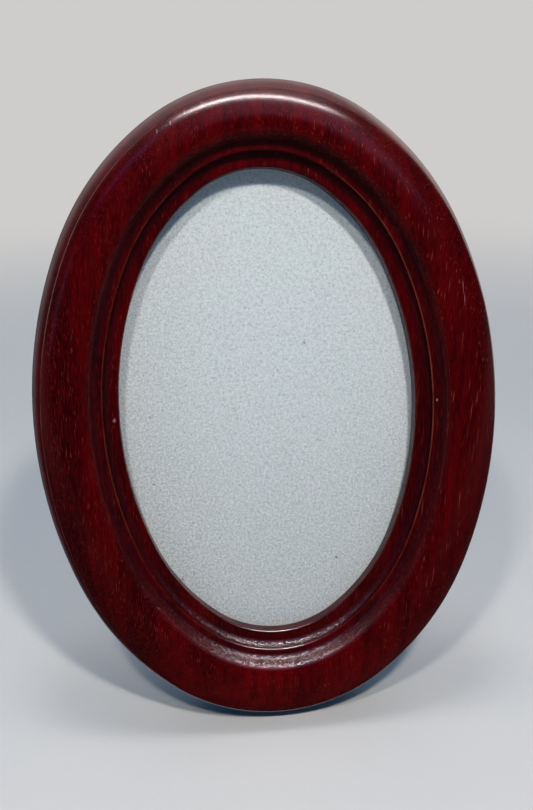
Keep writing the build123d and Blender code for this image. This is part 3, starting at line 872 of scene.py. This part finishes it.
# The paper: sizes of its marks, where on the picture it has painted shade, and its colours
PAPER_TINT = evenly(16 * MM)
PAPER_CLOUD = evenly(5 * MM)
PAPER_MOTTLE = evenly(1.1 * MM)
PAPER_FIBRE = evenly(0.65 * MM)
PAPER_RELIEF = 0.03 * MM
PAPER_ROUGHNESS = (0.75, 0.95)
PAINTED_SHADE_LEFT = (-5 * MM, -46 * MM)
PAINTED_SHADE_LEFT_SHARE = 0.5
PAINTED_SHADE_BELOW = (40 * MM, -66 * MM)
PAINTED_SHADE_BELOW_SHARE = 0.8
PAPER_WARM = colour(0.665, 0.65, 0.665)
PAPER_COOL = colour(0.645, 0.67, 0.66)
PAPER_CLOUD_GREY = colour(0.55, 0.55, 0.55)
PAPER_PAINTED_SHADE = colour(0.425, 0.41, 0.395)
PAPER_MOTTLE_GREY = colour(0.34, 0.35, 0.35)
PAPER_FIBRE_WHITE = colour(0.8, 0.8, 0.8)
PAPER_SPECK = colour(0.16, 0.16, 0.18)

# Specks in the paper: how far apart, how large a share of that, and how dark
SPECKS = (
    (7 * MM, 0.05, 0.8),
    (2.4 * MM, 0.1, 0.4),
)
SPECK_FADE_SHARE = 1.4


def insert_paper():
    """Greyish recycled paper with a cloudy tint, mottled fibre, a few dark specks and painted shade towards the
    left and the foot.
    """
    graph = Graph("insert_paper")
    tint = graph.patches(PAPER_TINT, edges=(0.38, 0.62), shift=2.0)
    cloud = graph.patches(PAPER_CLOUD, edges=(0.4, 0.65), detail=5.0, roughness=0.7)
    mottle = graph.patches(PAPER_MOTTLE, edges=(0.4, 0.66), detail=4.0, roughness=0.85, shift=3.0)
    fibre = graph.noise(PAPER_FIBRE, detail=3.0, roughness=0.8, shift=5.0)
    x, y, _ = graph.axes()
    # Painted shade: the paper is darker towards the left and the foot
    dull = graph.plus(
        graph.times(graph.between(x, *PAINTED_SHADE_LEFT), PAINTED_SHADE_LEFT_SHARE),
        graph.times(graph.between(y, *PAINTED_SHADE_BELOW), PAINTED_SHADE_BELOW_SHARE),
    )
    tone = graph.mix(tint, PAPER_WARM, PAPER_COOL)
    tone = graph.mix(graph.times(cloud, 0.3), tone, PAPER_CLOUD_GREY)
    tone = graph.mix(dull, tone, PAPER_PAINTED_SHADE)
    tone = graph.mix(graph.times(mottle, 0.75), tone, PAPER_MOTTLE_GREY)
    tone = graph.mix(graph.times(graph.between(fibre, 0.37, 0.64), 0.75), tone, PAPER_FIBRE_WHITE)
    for apart, radius_share, dark_share in SPECKS:
        rim = (SPECK_FADE_SHARE * radius_share, radius_share)
        speck = graph.spots(evenly(apart), 9.0, rim, chosen=(0.5, 0.9))
        tone = graph.mix(graph.times(speck, dark_share), tone, PAPER_SPECK)
    graph.set(Base_Color=tone, Roughness=graph.lerp(fibre, *PAPER_ROUGHNESS))
    graph.set(Normal=graph.bump(fibre, PAPER_RELIEF, 0.4))
    return graph.material


# The card and the boards
CARD_PULP = evenly(0.8 * MM)
CARD_RELIEF = 0.05 * MM
CARD_DARK = colour(0.3, 0.28, 0.245)
CARD_PALE = colour(0.42, 0.4, 0.36)
CARD_ROUGHNESS = (0.8, 0.95)
BOARD_FELT = evenly(0.5 * MM)
BOARD_PATCH = evenly(8 * MM)
BOARD_RELIEF = 0.08 * MM
BOARD_DARK = colour(0.13, 0.07, 0.034)
BOARD_PALE = colour(0.26, 0.155, 0.085)
BOARD_STAINED = colour(0.1, 0.055, 0.028)
BOARD_ROUGHNESS = (0.75, 0.95)


def grey_card():
    """Grey card of coarse pulp."""
    graph = Graph("grey_card")
    pulp = graph.noise(CARD_PULP, detail=5.0, roughness=0.7)
    tone = graph.mix(graph.between(pulp, 0.3, 0.7), CARD_DARK, CARD_PALE)
    graph.set(Base_Color=tone, Roughness=graph.lerp(pulp, *CARD_ROUGHNESS))
    graph.set(Normal=graph.bump(pulp, CARD_RELIEF, 0.5))
    return graph.material


def fibre_board():
    """Brown pressed fibre, felted and a little furry at the cut edges."""
    graph = Graph("fibre_board")
    felt = graph.noise(BOARD_FELT, detail=5.0, roughness=0.7)
    patch = graph.noise(BOARD_PATCH, shift=4.0)
    tone = graph.mix(graph.between(felt, 0.3, 0.7), BOARD_DARK, BOARD_PALE)
    tone = graph.mix(graph.times(patch, 0.35), tone, BOARD_STAINED)
    graph.set(Base_Color=tone, Roughness=graph.lerp(felt, *BOARD_ROUGHNESS))
    graph.set(Normal=graph.bump(felt, BOARD_RELIEF, 0.6))
    return graph.material


# The flock
FLOCK_PILE = evenly(0.22 * MM)
FLOCK_NAP = (16 * MM, 30 * MM, 16 * MM)
FLOCK_LINT = evenly(0.5 * MM)
FLOCK_RELIEF = 0.12 * MM
FLOCK_DARK = colour(0.006, 0.006, 0.007)
FLOCK_BRUSHED = colour(0.016, 0.016, 0.018)
FLOCK_TIP = colour(0.035, 0.035, 0.038)
LINT_GREY = colour(0.3, 0.3, 0.29)
FLOCK_ROUGHNESS = (0.85, 1.0)
FLOCK_GLOSS = 0.15
FLOCK_SHEEN = 0.25
FLOCK_SHEEN_ROUGHNESS = 0.4


def black_flock():
    """Short black velvety flock with a brushed nap and a little dust."""
    graph = Graph("black_flock")
    pile = graph.noise(FLOCK_PILE, detail=3.0, roughness=0.7)
    nap = graph.patches(FLOCK_NAP, edges=(0.3, 0.7), detail=3.0, roughness=0.6, distortion=0.8, shift=6.0)
    lint = graph.patches(FLOCK_LINT, edges=(0.8, 0.84), detail=0.0, shift=13.0)
    tone = graph.mix(nap, FLOCK_DARK, FLOCK_BRUSHED)
    tone = graph.mix(graph.times(graph.between(pile, 0.45, 0.75), 0.6), tone, FLOCK_TIP)
    tone = graph.mix(graph.times(lint, 0.4), tone, LINT_GREY)
    rough = graph.lerp(pile, *FLOCK_ROUGHNESS)
    graph.set(Base_Color=tone, Roughness=rough, Specular_IOR_Level=FLOCK_GLOSS)
    graph.set(Sheen_Weight=FLOCK_SHEEN, Sheen_Roughness=FLOCK_SHEEN_ROUGHNESS)
    graph.set(Normal=graph.bump(pile, FLOCK_RELIEF, 0.7))
    return graph.material


# The plated metals: sizes of their marks
TARNISH = evenly(9 * MM)
BRUSH_MARK = (4 * MM, 0.07 * MM, 0.07 * MM)
BRUSH_DEPTH = 0.004 * MM
DENT = evenly(2.5 * MM)
DENT_DEPTH = 0.02 * MM
METAL_SPOT = evenly(2.2 * MM)
METAL_SPOT_BROWN = colour(0.12, 0.09, 0.06)
BRUSHED_ROUGHER = 0.2
TARNISHED_ROUGHER = 0.15


def metal(name, bright, dull, rough):
    """Thin plating, brushed along its length, with soft tarnish and a few dull spots."""
    graph = Graph(name)
    tarnish = graph.noise(TARNISH, detail=3.0)
    brushed = graph.noise(BRUSH_MARK, shift=5.0)
    dent = graph.noise(DENT, detail=1.0, shift=8.0)
    spot = graph.spots(METAL_SPOT, 3.0, rim=(0.2, 0.1), chosen=(0.6, 1.0))
    tarnished = graph.times(graph.between(tarnish, 0.35, 0.7), 0.45)
    tone = graph.mix(graph.plus(tarnished, graph.times(brushed, 0.25)), bright, dull)
    tone = graph.mix(graph.times(spot, 0.5), tone, METAL_SPOT_BROWN)
    brush_rough = graph.lerp(brushed, rough, rough + BRUSHED_ROUGHER)
    tarnish_rough = graph.times(tarnish, TARNISHED_ROUGHER)
    graph.set(Base_Color=tone, Metallic=1.0, Roughness=graph.plus(brush_rough, tarnish_rough))
    fine = graph.bump(brushed, BRUSH_DEPTH, 0.4)
    graph.set(Normal=graph.bump(dent, DENT_DEPTH, 0.3, fine))
    return graph.material


def plated_steel():
    """Nickel plating on the hinge."""
    return metal("plated_steel", bright=colour(0.62, 0.6, 0.56), dull=colour(0.36, 0.34, 0.31), rough=0.2)


def button_brass():
    """Brass plating on the turn buttons."""
    return metal("button_brass", bright=colour(0.72, 0.5, 0.2), dull=colour(0.45, 0.3, 0.12), rough=0.2)


def screw_brass():
    """Darker brass plating on the screws."""
    return metal("screw_brass", bright=colour(0.66, 0.45, 0.19), dull=colour(0.34, 0.22, 0.1), rough=0.24)


def hanger_steel():
    """Yellowish plating on the hanger and its nails."""
    return metal("hanger_steel", bright=colour(0.6, 0.53, 0.36), dull=colour(0.38, 0.32, 0.2), rough=0.22)


MATERIALS = {
    make.__name__: make()
    for make in (
        stained_wood,
        clear_glass,
        insert_paper,
        grey_card,
        fibre_board,
        black_flock,
        plated_steel,
        button_brass,
        screw_brass,
        hanger_steel,
    )
}


# Pieces

def dress_nodes():
    """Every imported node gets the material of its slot."""
    for part in frame["record"]["subparts"]:
        node = frame["nodes"][part["node"]]
        node.data.materials.clear()
        node.data.materials.append(MATERIALS[part["material_slot"]])


# Stage: a floor that fades into a backdrop, and what polish mirrors of both and of the dim room
FLOOR_HALF_SIZE = 12.0
FLOOR_CLOUD = evenly(0.4)
FLOOR_DARK = colour(0.5, 0.49, 0.47)
FLOOR_PALE = colour(0.54, 0.53, 0.51)
FLOOR_MIDDLE = (0.52, 0.51, 0.49)
FLOOR_ROUGHNESS = 0.6
FLOOR_GLOSS = 0.2
FADE = (0.22, 0.7)
BACKDROP = colour(0.62, 0.61, 0.6)
BACKDROP_EDGE = 0.35
ROOM_TINT = colour(0.12, 0.5, 1.0)
ROOM_LIGHT = 0.3
GLOSSY_FLOOR_SHARE = 0.07
GLOSSY_BACKDROP_SHARE = 0.55
GLOSSY_ROOM_SHARE = 0.15

# Lamps: place, width and height, power and tint. One that isn't mirrored only lights the frame, and one
# that doesn't light is only seen in polish, as a stand-in for the room.
FRONT_TINT = (1.0, 0.95, 0.9)
LAMPS = {
    "overhead": dict(place=(0.0, 0.13, 0.9), size=(0.2, 0.2), power=2.0, mirrored=False),
    "overhead_streak": dict(
        place=(0.05, 0.13, 0.9), size=(0.75, 0.03), power=37.0, tint=(1.0, 0.92, 0.93), lighting=False
    ),
    "overhead_glow": dict(
        place=(0.0, 0.45, 0.95), size=(0.9, 0.45), power=2.2, tint=(1.0, 0.85, 0.9), lighting=False
    ),
    "front_left": dict(
        place=(-0.18, -0.42, 0.68), size=(0.06, 0.06), power=2.1, tint=FRONT_TINT, mirrored=False
    ),
    "front_right": dict(
        place=(0.12, -0.42, 0.68), size=(0.06, 0.06), power=3.3, tint=FRONT_TINT, mirrored=False
    ),
    "front_sheen": dict(
        place=(0.25, -0.5, 0.95), size=(0.8, 0.8), power=8.0, tint=(0.85, 0.46, 0.76), lighting=False
    ),
    "left_window": dict(
        place=(-0.9, -0.1, 0.36), size=(0.07, 0.32), power=0.22, tint=(0.5, 0.58, 1.0), lighting=False
    ),
    "left_skylight": dict(
        place=(-0.6, -0.1, 0.9), size=(0.12, 0.4), power=0.8, tint=(0.12, 0.22, 1.0), lighting=False
    ),
    "behind": dict(place=(0.0, 1.2, 0.75), size=(0.9, 0.9), power=3.0, mirrored=False),
}


def floor_material():
    """Pale and plain near the frame, and fading into an even backdrop further off."""
    graph = Graph("floor")
    seen_tone = graph.mix(graph.noise(FLOOR_CLOUD), FLOOR_DARK, FLOOR_PALE)
    far = graph.between(graph.length(graph.place), *FADE)
    path = graph.node("ShaderNodeLightPath")
    glossy = path.outputs["Is Glossy Ray"]
    seen = graph.most(path.outputs["Is Camera Ray"], path.outputs["Is Transmission Ray"])
    seen = graph.most(seen, glossy)
    mirrored_tone = colour(*(GLOSSY_FLOOR_SHARE * tone for tone in FLOOR_MIDDLE))
    graph.set(Base_Color=graph.mix(glossy, seen_tone, mirrored_tone))
    graph.set(Roughness=FLOOR_ROUGHNESS, Specular_IOR_Level=FLOOR_GLOSS)
    backdrop = graph.node("ShaderNodeEmission")
    backdrop.inputs["Color"].default_value = BACKDROP
    mirrored = graph.times(glossy, GLOSSY_BACKDROP_SHARE - 1)
    share = graph.times(far, graph.plus(seen, mirrored))
    graph.mix_shaders(share, graph.shader.outputs["BSDF"], backdrop.outputs["Emission"])
    return graph.material


def floor():
    """A plain pale floor at table height."""
    shape = bmesh.new()
    bmesh.ops.create_grid(shape, x_segments=2, y_segments=2, size=FLOOR_HALF_SIZE)
    mesh = bpy.data.meshes.new("floor")
    shape.to_mesh(mesh)
    shape.free()
    mesh.materials.append(floor_material())
    made = bpy.data.objects.new("floor", mesh)
    bpy.context.scene.collection.objects.link(made)


def sky():
    """Dim blue light all round, and a pale backdrop, which polish mirrors only where it lies behind."""
    world = bpy.data.worlds.new("studio")
    world.use_nodes = True
    tree = world.node_tree
    path = tree.nodes.new("ShaderNodeLightPath")

    def worked(operation, first, second, third=0.0):
        """One sum of two or three values."""
        made = tree.nodes.new("ShaderNodeMath")
        made.operation = operation
        for value, socket in zip((first, second, third), made.inputs):
            if isinstance(value, bpy.types.NodeSocket):
                tree.links.new(value, socket)
            else:
                socket.default_value = value
        return made.outputs["Value"]

    dim = tree.nodes["Background"]
    dim.inputs["Color"].default_value = ROOM_TINT
    mirrored = worked("MULTIPLY_ADD", path.outputs["Is Glossy Ray"], GLOSSY_ROOM_SHARE - 1, 1.0)
    tree.links.new(worked("MULTIPLY", mirrored, ROOM_LIGHT), dim.inputs["Strength"])
    pale = tree.nodes.new("ShaderNodeBackground")
    pale.inputs["Color"].default_value = BACKDROP
    way = tree.nodes.new("ShaderNodeSeparateXYZ")
    tree.links.new(tree.nodes.new("ShaderNodeTexCoord").outputs["Generated"], way.inputs["Vector"])
    behind = tree.nodes.new("ShaderNodeMapRange")
    behind.interpolation_type = "SMOOTHSTEP"
    behind.inputs["From Min"].default_value = BACKDROP_EDGE
    tree.links.new(way.outputs["Y"], behind.inputs["Value"])
    seen = worked("ADD", path.outputs["Is Camera Ray"], path.outputs["Is Transmission Ray"])
    share = worked("MULTIPLY_ADD", path.outputs["Is Glossy Ray"], behind.outputs["Result"], seen)
    both = tree.nodes.new("ShaderNodeMixShader")
    tree.links.new(share, both.inputs["Fac"])
    tree.links.new(dim.outputs["Background"], both.inputs[1])
    tree.links.new(pale.outputs["Background"], both.inputs[2])
    tree.links.new(both.outputs["Shader"], tree.nodes["World Output"].inputs["Surface"])
    bpy.context.scene.world = world


def lamp(name, place, size, power, tint=(1.0, 1.0, 1.0), lighting=True, mirrored=True):
    """A soft oblong lamp that faces the middle of the frame."""
    light = bpy.data.lights.new(name, "AREA")
    light.shape = "RECTANGLE"
    light.size, light.size_y = size
    light.energy = power
    light.color = tint
    made = bpy.data.objects.new(name, light)
    made.location = place
    middle = Vector((0, 0, CAD_BOX[1][2] / 2))
    made.rotation_euler = (middle - Vector(place)).to_track_quat("-Z", "Y").to_euler()
    made.visible_diffuse = lighting
    made.visible_glossy = mirrored
    bpy.context.scene.collection.objects.link(made)


def camera():
    """The photograph's view, given by its angles to the picture."""
    toward = Vector((
        sin(CAMERA_YAW) * cos(CAMERA_PITCH),
        sin(CAMERA_PITCH),
        cos(CAMERA_YAW) * cos(CAMERA_PITCH),
    ))
    right = Vector((0, 1, 0)).cross(toward).normalized()
    up = toward.cross(right)
    rolled_right = cos(CAMERA_ROLL) * right + sin(CAMERA_ROLL) * up
    rolled_up = cos(CAMERA_ROLL) * up - sin(CAMERA_ROLL) * right
    place = Matrix((rolled_right, rolled_up, toward)).transposed().to_4x4()
    place.translation = Vector((*CAMERA_AIM, 0)) + toward * CAMERA_DISTANCE
    lens = bpy.data.cameras.new("camera")
    lens.sensor_fit = "VERTICAL"
    lens.sensor_height = SENSOR_HEIGHT
    lens.lens = FOCAL_PIXELS * SENSOR_HEIGHT / IMAGE_HEIGHT
    lens.clip_start = CAMERA_NEAR
    made = bpy.data.objects.new("camera", lens)
    made.matrix_world = PICTURE @ place
    bpy.context.scene.collection.objects.link(made)
    bpy.context.scene.camera = made


dress_nodes()
wood_moulding()
glass()
floor()
sky()
for lamp_name, settings in LAMPS.items():
    lamp(lamp_name, **settings)
camera()
bpy.context.scene.view_settings.view_transform = "Standard"
